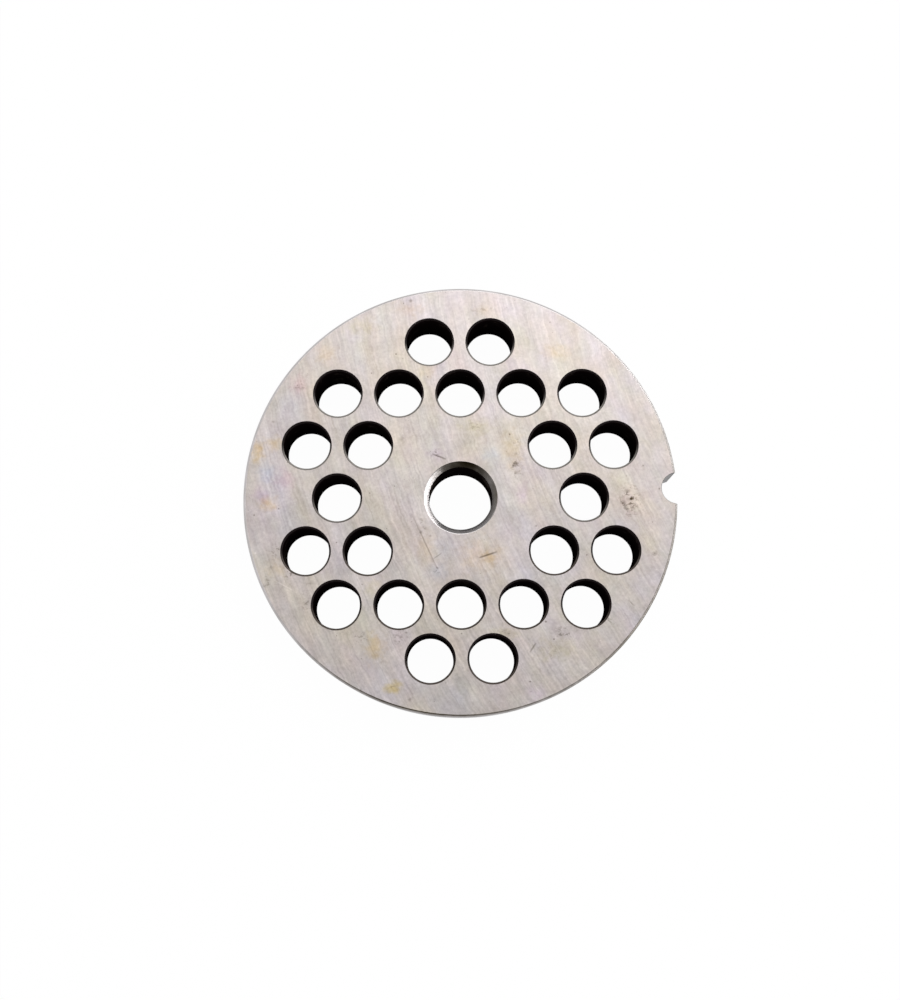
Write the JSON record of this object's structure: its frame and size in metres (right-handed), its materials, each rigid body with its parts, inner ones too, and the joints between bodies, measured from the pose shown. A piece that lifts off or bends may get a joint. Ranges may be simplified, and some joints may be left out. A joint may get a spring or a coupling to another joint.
{
  "type": "meat grinder plate",
  "caption": "Round steel disc with a triangular lattice of meat holes, a central bore and a half-round locating notch in its rim.",
  "frame": {"origin": "centre of the lower face, on the bore's axis", "axes": "+Z along the bore's axis, out of the upper face; +X along a row of holes, towards the notch; +Y across the rows"},
  "size_m": [0.07, 0.07, 0.009],
  "materials": {
    "ground_steel": "surface-ground faces with fine straight grain, light staining and small pits; dark heat-treatment scale left in the holes"
  },
  "bodies": {
    "root": {"grinder_plate": "ground_steel"}
  },
  "joints": []
}
